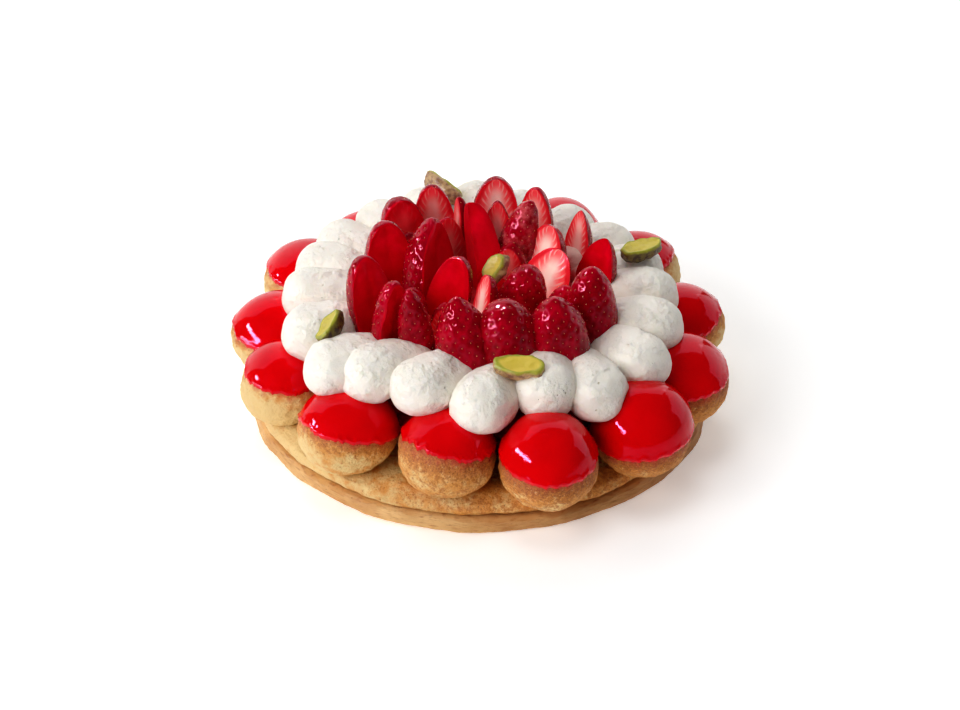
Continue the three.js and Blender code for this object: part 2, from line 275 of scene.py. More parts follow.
class Finish:
    """A procedural finish: its nodes and the links between them."""

    def __init__(self, name, **sockets):
        self.material = bpy.data.materials.new(name)
        self.material.use_nodes = True
        self.tree = self.material.node_tree
        self.shader = self.tree.nodes["Principled BSDF"]
        self.set(self.shader, sockets)
        self.where = self.add("ShaderNodeTexCoord").outputs["Object"]

    def set(self, node, inputs):
        """Sets or links a node's inputs. A name may have _ for a space."""
        for key, value in inputs.items():
            key = key.replace("_", " ") if isinstance(key, str) else key
            if isinstance(value, bpy.types.NodeSocket):
                self.tree.links.new(value, node.inputs[key])
            else:
                node.inputs[key].default_value = value

    def add(self, kind, inputs=None, **settings):
        """A node of a kind, with its settings and inputs."""
        node = self.tree.nodes.new(kind)
        for key, value in settings.items():
            setattr(node, key, value)
        self.set(node, inputs or {})
        return node

    def noise(self, size, seed, detail=3.0, rough=0.5, at=None):
        """Smooth noise from 0 to 1 with features of a size in millimetres."""
        inputs = {"Vector": at or self.where, "W": seed, "Scale": 1 / (size * MM)}
        inputs.update({"Detail": detail, "Roughness": rough})
        return self.add("ShaderNodeTexNoise", inputs, noise_dimensions="4D").outputs[0]

    def cells(self, size, seed):
        """Scattered points about a size apart: the distance to the nearest, and its own colour."""
        inputs = {"Vector": self.where, "W": seed, "Scale": 1 / (size * MM)}
        node = self.add("ShaderNodeTexVoronoi", inputs, voronoi_dimensions="4D")
        return node.outputs["Distance"], node.outputs["Color"]

    def math(self, kind, a, b=0.0):
        """A sum on one or two values."""
        return self.add("ShaderNodeMath", {0: a, 1: b}, operation=kind).outputs[0]

    def times(self, a, b):
        """One value times another."""
        return self.math("MULTIPLY", a, b)

    def plus(self, a, b):
        """One value and another together."""
        return self.math("ADD", a, b)

    def steps(self, value, low, high, start=0.0, end=1.0):
        """Start below low, end above high, and a smooth change between."""
        inputs = {"Value": value, "From Min": low, "From Max": high, "To Min": start, "To Max": end}
        node = self.add("ShaderNodeMapRange", inputs, interpolation_type="SMOOTHSTEP")
        return node.outputs["Result"]

    def paint(self, tone, *layers):
        """A colour, with layers over it: each has its share, from 0 to 1, and its colour."""
        for share, over in layers:
            inputs = {0: share, 6: colour(tone), 7: colour(over)}
            tone = self.add("ShaderNodeMix", inputs, data_type="RGBA").outputs[2]
        return tone

    def stored(self, name, kind="Fac"):
        """A value, or a Vector, that was stored on the mesh."""
        return self.add("ShaderNodeAttribute", attribute_name=name).outputs[kind]

    def parts(self, vector):
        """The three parts of a vector."""
        return self.add("ShaderNodeSeparateXYZ", {0: vector}).outputs

    def relief(self, *layers):
        """Fine reliefs, one over the other: each has its height and its depth in millimetres."""
        below = {}
        for height, depth in layers:
            inputs = {"Height": height, "Strength": 1.0, "Distance": depth * MM}
            below = {"Normal": self.add("ShaderNodeBump", {**inputs, **below}).outputs["Normal"]}
        return below["Normal"]

    def done(self, **sockets):
        """Links the last values to the shader and gives the material."""
        self.set(self.shader, sockets)
        print(self.material.name + ":", len(self.tree.nodes), "nodes")
        return self.material


print("mid grey as light:", round(colour((128, 128, 128))[0], 3))

# %% [markdown]
# ## The flaky round
# The round under the cake is puff pastry that was docked and weighted so that it baked flat. Its
# rim shows thin leaves of dough, browned at the edges. The leaves could be painted on, but they
# show in the outline, so they are real terraces of slightly different reach. The brown comes from
# noise stretched along the leaves, and the side towards +X is painted a deeper brown, as painted
# shade.

# %% Finish of the flaky round
pastry = Finish("flaky_pastry_finish", Roughness=0.62)
leaf = pastry.add("ShaderNodeMapping", {"Vector": pastry.where, "Scale": (1, 1, 9)}).outputs[0]
streaks = pastry.noise(4, 1, detail=4, at=leaf)
speckle = pastry.noise(1.4, 2, detail=4, rough=0.65)
patches = pastry.noise(16, 3)
# Painted shade: the side towards +X is painted a deeper brown, where the round lies in shade.
painted_shade_plus_x = pastry.steps(pastry.parts(pastry.where)[0], -0.06, 0.06, 0.0, 0.6)
tone = pastry.paint(
    (234, 190, 126),
    (pastry.steps(patches, 0.35, 0.65), (210, 154, 88)),
    (pastry.steps(streaks, 0.5, 0.75), (184, 120, 60)),
    (painted_shade_plus_x, (176, 112, 58)),
    (pastry.steps(speckle, 0.6, 0.78), (150, 92, 44)),
)
relief = pastry.relief((streaks, 0.5), (speckle, 0.35))
pastry_finish = pastry.done(Base_Color=tone, Normal=relief)

# %% Flaky round
LEAF = {"thick": 0.85, "reach": 0.42, "rough": 0.2, "deep": 3, "dented": 0.15}
radius, height, bevel = BASE["radius"], BASE["height"], BASE["bevel"]
profile = [(0.5, 0), (radius - bevel, 0), (radius, bevel), (radius + 0.4, height / 2)]
profile += [(radius, height - bevel), (radius - 2 * bevel, height), (0.5, height)]
rows = finer(profile, (12, 5, 9, 9, 6, 12), rounds=2)
rings = turned(rows, AROUND["base"])
out = np.hypot(rings[..., 0], rings[..., 1])
push = BASE["ripple"] * uneven(rings, (9, 9, 2), SEED["base"])
leaves = np.floor(rings[..., 2] / LEAF["thick"])
edge = np.stack([rings[..., 0] / 5, rings[..., 1] / 5, leaves * 7.7], -1)
rim = out > radius - LEAF["deep"]
push = push + rim * (LEAF["reach"] * grain(edge, 1) + LEAF["rough"] * grain(rings, 1.2, 3))
rings[..., :2] *= (1 + push / out)[..., None]
rings[..., 2] += LEAF["dented"] * grain(rings, 4, 2) * (rings[..., 2] > height / 2)
pastry_base = made("pastry_base_fine", *closed((0, 0, 0), rings, (0, 0, height)), pastry_finish)
print("flaky round:", hand_over(pastry_base, "flaky_pastry", "pastry_base"), "faces")

# %% [markdown]
# ## Choux
# Choux dough puffs up and dries to a thin crust. It is pale where it stayed damp or touched the
# next piece, golden on its shoulders, and has fine cracks, blisters and a few burst holes. The
# same finish serves the ring and the puffs. One stored value says how far below the glaze a point
# lies, because the crust just under it is the brownest, and another says where a red film stains
# it. The cake's front right is painted browner, as painted shade.

# %% Finish of the choux
choux = Finish("choux_finish", Roughness=0.6)
below = choux.stored("below")
patches = choux.noise(6, 4, detail=5, rough=0.65)
crumbs = choux.noise(1.6, 5, detail=5, rough=0.72)
grit = choux.noise(0.7, 6, detail=3, rough=0.6)
distance, _ = choux.cells(2.6, 7)
x, y, _ = choux.parts(choux.where)
# Painted shade: the cake's front right is painted browner, where it lies in shade.
painted_shade_front_right = choux.steps(choux.math("SUBTRACT", choux.times(x, 0.5), y), 0.0, 0.1, -0.07, 0.17)
# The crust's browning just under the glaze, with the painted shade of the front right added on top.
shoulder = choux.plus(choux.steps(below, 0.5, 9.0, 0.13, -0.05), painted_shade_front_right)
golden = choux.steps(choux.plus(patches, shoulder), 0.44, 0.66)
brown = choux.steps(choux.plus(crumbs, shoulder), 0.58, 0.7)
dark = choux.steps(choux.plus(grit, shoulder), 0.68, 0.84)
tone = choux.paint(
    (249, 213, 146),
    (golden, (234, 162, 76)),
    (choux.times(brown, 0.8), (204, 122, 46)),
    (choux.times(dark, 0.75), (168, 82, 26)),
    (choux.steps(crumbs, 0.3, 0.42, 0.5, 0.0), (252, 228, 170)),
    (choux.stored("stain"), (205, 40, 22)),
)
blisters = choux.steps(distance, 0.0, 0.25)
relief = choux.relief((patches, 1.2), (crumbs, 1.4), (grit, 0.25), (blisters, 0.12))
choux_finish = choux.done(Base_Color=tone, Normal=relief)

# %% Choux ring
inner, outer, floor = RING["inner"], RING["outer"], RING["floor"]
middle, half, height = (inner + outer) / 2, (outer - inner) / 2, RING["height"]
profile = [(inner, floor), (outer - 2, floor), (outer, floor + height * 0.35)]
profile += [(outer - 1, floor + height * 0.7), (middle + half * 0.62, floor + height)]
profile += [(middle - half * 0.5, floor + height), (inner, floor + height * 0.8), (inner, floor)]
rows = finer(profile, (5, 8, 8, 14, 16, 8, 5), rounds=3)[:-1]
rings = turned(rows, AROUND["ring"])
out = np.hypot(rings[..., 0], rings[..., 1])
rise = (rings[..., 2] - floor) / height
push = RING["lumps"] * uneven(rings, (7, 7, 4), SEED["ring"])
rings[..., :2] *= (1 + (out > middle) * push / out)[..., None]
rings[..., 2] += rise * push * 0.8
choux_ring = made("choux_ring_fine", *looped(rings), choux_finish)
print("choux ring:", len(choux_ring.data.vertices), "points")

# %% Crust of the choux ring
# The few burst holes that show: bearing, height, radius and depth.
HOLES = [(226, 12.5, 1.5, 1.4), (247, 10.5, 1.1, 1.0), (216, 9.5, 1.0, 0.8), (291, 10, 0.9, 0.8)]


def ring_crust(points):
    """Blisters and burst holes in the crust of the ring."""
    push = 0.35 * grain(points, 6, 1) + 0.22 * grain(points, 2.4, 2) + 0.1 * grain(points, 1.1, 3)
    for bearing, level, size, depth in HOLES:
        spot = np.array([*outer * toward(bearing), level])
        away = np.linalg.norm(points - spot, axis=1)
        push -= depth * np.exp(-((away / size) ** 2))
    return push * (points[:, 2] > floor + 0.5)


pushed(choux_ring, ring_crust)
ring_points = np.array([v.co for v in choux_ring.data.vertices]) / MM
mark(choux_ring, "below", 10 + 5 * grain(ring_points, 14, 8))
mark(choux_ring, "stain", np.zeros(len(ring_points)))
print("choux ring:", hand_over(choux_ring, "choux", "choux_ring"), "faces")

# %% [markdown]
# ## Puffs
# Each puff is a filled choux bun. It was dipped top down in glaze, so the glaze ends in a line that
# lies level in the dip and tilts once the bun is set on the ring. Where it was wiped, a thin red
# film runs on over the crust. The line is one function of the bearing, because the crust and the
# glaze both need it: the crust turns smooth above it, and the glaze starts at it.

# %% The form of a puff
# Each puff: bearing, distance out, width and tallness, then its glaze: the height above the widest
# level where the glaze ends, how much that edge tilts, and the bearing that it tilts up towards.
PUFFS = [
    (150.5, 80, 36.6, 1, 3, 4.5, 190),
    (179.5, 79.6, 36.6, 1, 5, 1.5, 120),
    (203.5, 82, 34.4, 0.94, 6.2, 1.6, 200),
    (231.5, 79.6, 37.4, 1, 3, 5, 235),
    (260.7, 77, 36.9, 1, 5.5, 5, 237),
    (286.8, 85.4, 37.2, 1.14, 5, 2, 100),
    (314.4, 85.8, 37.6, 1.12, -0.4, 1, 30),
    (338.4, 82, 37.8, 1.02, 5, 2.5, 60),
    (5, 79.6, 34.6, 1, 5, 3.5, 10),
    (35.6, 77.6, 36.6, 1, 6, 4, 345),
    (65.4, 78.6, 35.6, 1, 4, 2, 80),
    (96, 78, 36.8, 1, 3, 2, 120),
    (127.4, 76, 36.6, 1, 4, 2, 60),
]
DRIPPING = (4, 6, 7)  # the indices of the puffs whose red film runs further down the crust
FILM = {"reach": 2.2, "more": 1.2, "ragged": 1.6, "strength": 0.75}
SETBACK = 0.3  # the choux is this much smaller than the part's puff, to leave room for the glaze


def puff_surface(index, turn, angle):
    """Points on a puff about its middle, at a bearing and an angle above its widest level."""
    width, tall = PUFFS[index][2:4]
    low = angle < 0
    fullness = np.where(low, FULLNESS["belly"], FULLNESS["crown"])
    rise = np.where(low, PUFF["belly"], PUFF["crown"]) * tall
    across = width / 2 * np.cos(angle).clip(1e-6) ** fullness
    points = np.stack([across * np.cos(turn), across * np.sin(turn), rise * np.sin(angle)], -1)
    lump = uneven(points, (9, 9, 8), SEED["puff"] + index)
    return points * (1 + PUFF["lumps"] * lump)[..., None]


def puff_middle(index):
    """The middle of a puff, at its widest level."""
    bearing, reach = PUFFS[index][:2]
    return np.array([*reach * toward(bearing), PUFF["equator"]])


def glaze_height(index, turn):
    """How high above the widest level the glaze ends, with its waves and small teeth."""
    level, tilt, highest = PUFFS[index][4:]
    line = level + tilt * np.cos(turn - math.radians(highest))
    round_trip = np.stack([np.cos(turn), np.sin(turn), np.zeros_like(turn)], -1)
    for size, depth in ((0.7, 1.3), (0.22, 0.8), (0.09, 0.7), (0.045, 0.35)):
        line = line + depth * grain(round_trip, size, index + 2)
    return line


print(len(PUFFS), "puffs, the first with its middle at", puff_middle(0).round(1))

# %% Choux bodies of the puffs


def longer(points, extra):
    """Points moved away from the origin by a distance in millimetres."""
    length = np.linalg.norm(points, axis=-1, keepdims=True)
    return points * (1 + np.asarray(extra)[..., None] / length)


def puff_body(index):
    """The choux body of one puff, rough below the glaze and smooth under it."""
    turn, angle = np.meshgrid(full_turn(AROUND["puff"]), rising(ALONG["puff"]))
    rings = puff_surface(index, turn, angle)
    below = glaze_height(index, turn) - rings[..., 2]
    bare = np.clip(below / 1.5 + 1, 0, 1)
    rough = 0.5 * grain(rings, 5, index) + 0.34 * grain(rings, 2, index + 20)
    rough = rough + 0.2 * grain(rings, 0.9, index + 40)
    rings = longer(rings, bare * rough - SETBACK)
    reach = FILM["reach"] + FILM["more"] * (index in DRIPPING)
    film = np.clip(1 - below / (reach + FILM["ragged"] * grain(rings, 6, index + 60)), 0, 1)
    film = film * np.clip(0.55 + 1.2 * grain(rings, 2.2, index + 80), 0, 1) * FILM["strength"]
    tall = PUFFS[index][3]
    bottom, top = [0, 0, -PUFF["belly"] * tall], [0, 0, PUFF["crown"] * tall - SETBACK]
    points, faces = closed(bottom, rings, top)
    body = made(f"puff_{index + 1:02d}_choux", points + puff_middle(index), faces, choux_finish)
    mark(body, "below", np.concatenate([[20], below.ravel(), [-20]]))
    mark(body, "stain", np.concatenate([[0], film.ravel(), [0]]))
    return hand_over(body, "choux", f"puff_{index + 1:02d}")


print("choux bodies:", sum(puff_body(index) for index in range(len(PUFFS))), "faces")

# %% [markdown]
# ## Glaze
# The red glaze is a clear strawberry jelly, less than a millimetre thick. It could be a second
# colour on the choux, but then it would have no edge. So it is a separate closed skin over the top
# of each puff, which swells to a bead and ends in a rounded rim. Its mirror-like surface picks up
# the white of the cream and of the room, tinted pink.

# %% Finish of the glaze
glaze = Finish("glaze_finish", Roughness=0.05, IOR=1.42, Specular_Tint=(1.0, 0.25, 0.55, 1))
thick = glaze.stored("thick")
pool = glaze.noise(14, 11, detail=1)
pools = glaze.paint((214, 0, 6), (glaze.steps(pool, 0.3, 0.7), (230, 0, 9)))
tone = glaze.paint((214, 24, 18), (glaze.steps(thick, 0.0, 0.7), pools))
ripple = glaze.relief((glaze.noise(9, 12, detail=1), 0.25), (glaze.noise(1.6, 13), 0.04))
glaze_finish = glaze.done(Base_Color=tone, Normal=ripple)

# %% Glaze caps
GLAZE_DEPTH = 0.6
LIFT = 0.06  # how far the glaze stands proud of the part's puff, beside its own depth
BURIED = 0.8  # how far inside the part's puff the glaze's inner side lies
BEAD = {"swell": 0.5, "from_edge": 1.5, "width": 1.0}


def glaze_cap(index):
    """The glaze on one puff: a closed skin that ends in a rounded rim."""
    tall = PUFFS[index][3]
    turns = full_turn(AROUND["glaze"])
    share = (np.linspace(0, 1, ALONG["glaze"])[:-1] ** 1.6)[:, None]
    edge = glaze_height(index, turns)
    rise = np.where(edge < 0, PUFF["belly"], PUFF["crown"]) * tall
    start = np.arcsin(np.clip(edge / rise, -0.9, 0.9))
    angle = start + (math.pi / 2 - start) * share
    skin = puff_surface(index, np.broadcast_to(turns, angle.shape), angle)
    run = (angle - start) * PUFF["crown"]
    bead = 1 + BEAD["swell"] * np.exp(-(((run - BEAD["from_edge"]) / BEAD["width"]) ** 2))
    drops = 1 + 0.5 * np.clip(grain(skin, 1.6, index), 0, 1) * np.exp(-((run / 2.5) ** 2))
    depth = GLAZE_DEPTH * np.sqrt(np.clip(run / 1.3, 0, 1)) * bead * drops
    outer_skin = longer(skin, depth - SETBACK + LIFT)
    inner_skin = longer(skin, np.full(run.shape, -BURIED))
    rings = np.concatenate([inner_skin[::-1], outer_skin])
    top = np.array([0, 0, PUFF["crown"] * tall])
    over = top + [0, 0, GLAZE_DEPTH - SETBACK + LIFT]
    points, faces = closed(top - [0, 0, BURIED], rings, over)
    cap = made(f"puff_{index + 1:02d}_glaze", points + puff_middle(index), faces, glaze_finish)
    inside, outside = np.ones(run.size), np.clip(run / 2, 0, 1).ravel()
    mark(cap, "thick", np.concatenate([[1], inside, outside, [1]]))
    return hand_over(cap, "glaze")


print("glaze caps:", sum(glaze_cap(index) for index in range(len(PUFFS))), "faces")

# %% [markdown]
# ## Cream
# Whipped vanilla cream fills the ring. Round it, fat dollops were piped with a slanted nozzle, each
# stroke starting with a round head at the rim and tailing off inwards. Metaballs could make such
# forms, but not their flat tails, so each stroke is a lumpy drop and all are joined into one mass.
# Piped cream keeps small pits, drag wrinkles and specks of vanilla seed; the pits are painted a
# deeper beige, as painted shade. Where it touches the fruit it is painted red, partly juice stain and
# partly painted shade and red light thrown by the fruit, and low between the puffs it is painted red
# as painted shade.

# %% Finish of the cream
cream = Finish("cream_finish", Roughness=0.6, Subsurface_Weight=0.2, Subsurface_Scale=0.5)
cream.set(cream.shader, {"Subsurface Radius": (0.004, 0.003, 0.002)})
soft = cream.noise(6, 21)
rough_zone = cream.steps(cream.noise(9, 25), 0.42, 0.6, 0.25, 1.0)
folds = cream.noise(2.4, 26, detail=5, rough=0.62)
fine = cream.noise(0.8, 22, detail=4, rough=0.6)
distance, own = cream.cells(3.0, 23)
chosen = cream.steps(cream.parts(own)[0], 0.6, 0.62)
speck = cream.times(cream.steps(distance, 0.05, 0.09, 1.0, 0.0), chosen)
distance, own = cream.cells(2.4, 24)
chosen = cream.steps(cream.parts(own)[0], 0.5, 0.52)
pit = cream.times(cream.steps(distance, 0.06, 0.2, 1.0, 0.0), chosen)
x, y, z = cream.parts(cream.where)
out = cream.plus(cream.math("POWER", x, 2.0), cream.math("POWER", y, 2.0))
out = cream.plus(cream.math("POWER", out, 0.5), cream.times(soft, 0.008))
# Red next to the fruit: partly juice stain, partly painted shade and red light thrown by the fruit.
juice_and_painted_fruit_light = cream.steps(out, 0.041, 0.049, 1.0, 0.0)
juice_and_painted_fruit_light = cream.times(juice_and_painted_fruit_light, cream.steps(z, 0.05, 0.06, 1.0, 0.0))
# Painted shade: red painted low between the puffs, where the gaps lie in shade.
painted_gap_shade = cream.times(cream.steps(z, 0.034, 0.041, 1.0, 0.0), cream.steps(out, 0.05, 0.056))
tone = cream.paint(
    (247, 240, 228),
    (soft, (251, 246, 237)),
    # Painted shade: the pits are painted a deeper beige, the shade in their hollows.
    (cream.times(pit, 0.6), (196, 176, 140)),
    (cream.times(speck, 0.75), (92, 70, 48)),
    (cream.math("MAXIMUM", juice_and_painted_fruit_light, painted_gap_shade), (176, 0, 12)),
)
relief = cream.relief((soft, 0.5), (cream.times(folds, rough_zone), 1.5), (fine, 0.14), (pit, -0.8))
cream_finish = cream.done(Base_Color=tone, Normal=relief)

# %% Dollops of cream
# Each dollop: bearing, turn of its stroke, how far out and how far down.
DOLLOPS = [
    (2.6, -8, -1.2, 1),
    (18.5, -6, -2.5, 1.5),
    (36.5, -4, -4, 2),
    (56.4, -8, -4, 2.5),
    (76.4, -10, -1, 2.5),
    (92.7, -12, 0, 0),
    (110, -10, 0, 0.5),
    (127.8, -8, -1, 0),
    (146, -4, 0, 0.5),
    (160.5, 0, 0, 1.5),
    (178.7, 2, 0, 0),
    (201.1, 6, 3, 0),
    (221.2, 3, 7, 0.5),
    (232, -16, 0.5, -0.5),
    (250.5, -26, -1.5, -0.5),
    (270.4, -26, 3, 1.5),
    (291.3, -26, 0, 0),
    (305.8, -22, 6.5, 3),
    (325.4, -13, 6, 2),
    (343, 3, 2, 0),
]


def dollop(index):
    """One piped dollop, with the drag wrinkles of its stroke."""
    bearing, turn, out, drop = DOLLOPS[index]
    angle = rising(ALONG["dollop"])
    fullness = np.where(angle < 0, FULLNESS["tail"], FULLNESS["head"])
    along = np.where(angle < 0, DOLLOP["tail"], DOLLOP["head"]) * np.sin(angle)
    across = DOLLOP["width"] / 2 * np.cos(angle) ** fullness
    rings = turned(np.stack([across, along], -1), AROUND["dollop"])
    flat = DOLLOP["height"] / DOLLOP["width"]
    rings = np.stack([rings[..., 2], rings[..., 1], -rings[..., 0] * flat], -1)
    deep = np.clip(-2 * rings[..., 2] / DOLLOP["height"], 0, 1)
    rings[..., 1] *= (1 - 0.9 * deep**2) ** -DOLLOP["square"]
    rings[..., 0] += DOLLOP["slump"] * deep * rings[..., 0].clip(0) / DOLLOP["head"]
    lump = DOLLOP["lumps"] * uneven(rings, (8, 6, 6), SEED["dollop"] + index)
    drag = 0.03 * grain(rings, 2.8, index, (4, 1, 1)) + 0.03 * grain(rings, 3.2, index + 30)
    drag = drag + 0.07 * grain(rings, 9, index + 60)
    rings[..., 1:] *= (1 + lump + drag)[..., None]
    ends = np.array([[-DOLLOP["tail"], 0, 0], [DOLLOP["head"], 0, 0]], dtype=float)
    points, faces = closed(ends[0], rings, ends[1])
    points = spun(spun(points, "Y", -DOLLOP["tilt"]), "Z", bearing + turn)
    middle = toward(bearing) * (DOLLOP["reach"] + out) + DOLLOP["centre"]
    return made(f"dollop_{index}", points + [*middle, DOLLOP["level"] - drop], faces)


strokes = [dollop(index) for index in range(len(DOLLOPS))]
print(len(strokes), "dollops")

# %% Bed of cream, joined with the dollops


def cream_bed():
    """The cream that fills the ring up to the strawberries."""
    floor = BASE["height"] + 0.3
    ring_top = floor + RING["height"] + 1
    throat, wide, level, dome = RING["inner"] - 0.6, BED["radius"], BED["level"], BED["dome"]
    profile = [(1, floor), (throat, floor), (throat, ring_top), (wide - 2, ring_top + 6)]
    profile += [(wide, level - 10), (wide - 3, level - 2), (wide * 0.7, level + dome * 0.5)]
    profile += [(wide * 0.35, level + dome), (1, level + dome)]
    rings = turned(finer(profile, (3, 2, 2, 3, 3, 8, 8, 6), rounds=1), AROUND["bed"])
    return made("bed", *closed((0, 0, floor), rings, (0, 0, level + dome)), cream_finish)


def joined(first, others):
    """One closed mesh from overlapping closed meshes."""
    for other in others:
        step = first.modifiers.new("join", "BOOLEAN")
        step.operation = "UNION"
        step.solver = "MANIFOLD"
        step.object = other
    frozen(first)
    for other in others:
        bpy.data.objects.remove(other)
    return first


CREASE = 50  # degrees: where two dollops meet more sharply than this, the crease stays crisp
piped = joined(cream_bed(), strokes)
piped.name = "cream_fine"
piped.data.shade_smooth()
piped.data.set_sharp_from_angle(angle=math.radians(CREASE))
print("cream:", hand_over(piped, "cream", "cream"), "faces")

# %% [markdown]
# ## Strawberries
# The strawberries were hulled, cut lengthwise and set point up. The skin is deep red and shiny,
# with each seed in its own dimple, and it is mottled with pink on the palest fruit. The dimples
# are painted a deeper red, as painted shade. The flesh is red at the rim and paler towards the
# core, with light rays that run out to the seeds, and it is painted a deeper red towards the base,
# as painted shade. Thin pale slices give off a faint painted light, standing in for the light that
# comes through them. Thirty finishes would be hard to keep alike, so every mesh stores its own place
# along and across the fruit and how pale it is, and one finish draws the rays on all of them.

# %% Finish of the strawberries
fruit = Finish("strawberry_finish", IOR=1.42, Subsurface_Weight=0.25, Subsurface_Scale=1.0)
reds = {"Subsurface Radius": (0.004, 0.0006, 0.0008), "Specular Tint": (1.0, 0.26, 0.44, 1)}
fruit.set(fruit.shader, reds)
opened = fruit.stored("opened")
pale = fruit.stored("pale")
dimple = fruit.stored("dimple")
blush = fruit.noise(8, 31)
mottle = fruit.steps(fruit.noise(5, 36, detail=6, rough=0.7), 0.45, 0.7)
mottle = fruit.times(mottle, fruit.steps(pale, 0.7, 1.0))
skin = fruit.paint(
    (146, 0, 20),
    (fruit.steps(blush, 0.35, 0.65), (184, 0, 36)),
    # Painted shade: the dimples are painted a deeper red.
    (fruit.times(dimple, 0.2), (120, 0, 10)),
    (mottle, (232, 112, 118)),
)
print("skin of the strawberries:", len(fruit.tree.nodes), "nodes")

# %% Rays in the flesh
RAYS = 62.0  # how closely the rays follow each other
PLAIN_POINT = 1.15  # the rays suit a piece with a point this sharp, as in the table of pieces
_, y, z = fruit.parts(fruit.stored("own", "Vector"))
up = fruit.math("SUBTRACT", z, BERRY["shoulder"])
up = fruit.math("DIVIDE", up, 1 - BERRY["shoulder"])
up = fruit.add("ShaderNodeClamp", {0: up}).outputs[0]
wide = fruit.math("POWER", fruit.math("SUBTRACT", 1.001, fruit.times(up, up)), PLAIN_POINT / 2)
across = fruit.math("DIVIDE", fruit.math("ABSOLUTE", y), wide)
wander = fruit.noise(3, 33)
across = fruit.plus(across, fruit.times(fruit.math("SUBTRACT", wander, 0.5), 0.3))
ray = fruit.math("SUBTRACT", z, fruit.times(across, 0.3))
ray = fruit.math("SINE", fruit.times(fruit.plus(ray, fruit.times(wander, 0.06)), RAYS))
ray = fruit.times(fruit.steps(ray, 0.1, 1.0), fruit.steps(across, 0.15, 0.4))
ray = fruit.times(ray, fruit.steps(across, 0.6, 0.95, 1.0, 0.0))
core = fruit.steps(across, 0.12, 0.62, 1.0, 0.0)
core = fruit.times(core, fruit.steps(z, 0.72, 0.95, 1.0, 0.0))
light = fruit.times(fruit.math("MAXIMUM", fruit.times(ray, 0.55), core), pale)
print("with the rays:", len(fruit.tree.nodes), "nodes")

# %% Flesh, gloss and seeds
rim = fruit.times(fruit.steps(across, 0.62, 0.92), 0.85)
ripe = fruit.paint((228, 0, 30), (fruit.steps(fruit.noise(6, 37), 0.35, 0.65), (246, 0, 44)))
flesh = fruit.paint(
    # Painted shade: the flesh is painted a deeper red towards the base, and ripe red higher up.
    (210, 0, 16),
    (fruit.steps(z, 0.2, 0.8), ripe),
    (pale, (246, 100, 104)),
    (light, (255, 230, 218)),
    (rim, (214, 0, 30)),
)
tone = fruit.paint(skin, (opened, flesh))
thin = fruit.times(opened, pale)
wet = fruit.relief((fruit.noise(2.5, 34), 0.12), (fruit.times(ray, thin), 0.08))
gloss = fruit.steps(opened, 0.0, 1.0, 0.05, 0.16)
# Painted light: thin pale faces give off a faint light of their own colour, standing in for light
# through the slice.
painted_glow = fruit.times(thin, 0.25)
fruit_finish = fruit.done(
    Base_Color=tone, Emission_Color=tone, Emission_Strength=painted_glow, Roughness=gloss, Normal=wet
)

seed = Finish("strawberry_seed_finish", Roughness=0.3)
tone = seed.paint((244, 186, 112), (seed.noise(3, 35), (222, 116, 84)))
seed_finish = seed.done(Base_Color=tone)

# %% [markdown]
# ## Seeds
# Seeds sit on a strawberry in a spiral: each is turned by the golden angle from the one before it.
# A particle system could scatter them, but not in a spiral. So geometry nodes place one small seed
# at each of those points, with its back to the skin and its sharp end to the tip of the fruit.

# %% Seed tree


def seed_shape():
    """One seed before it is scaled: a drop 0.84 mm long, sharp at its +Y end."""
    width, length, depth, taper = 0.25, 0.42, 0.2, 0.35
    rings = turned([(0.7, -0.7), (1, 0), (0.7, 0.7)], 6)
    points, faces = closed((0, 0, -1), rings, (0, 0, 1))
    points = np.stack([points[:, 0], points[:, 2], -points[:, 1]], -1)
    points[:, 0] *= width * (1 - taper * points[:, 1])
    points[:, 1] *= length
    points[:, 2] *= depth
    return made("seed_shape", points, faces, seed_finish)


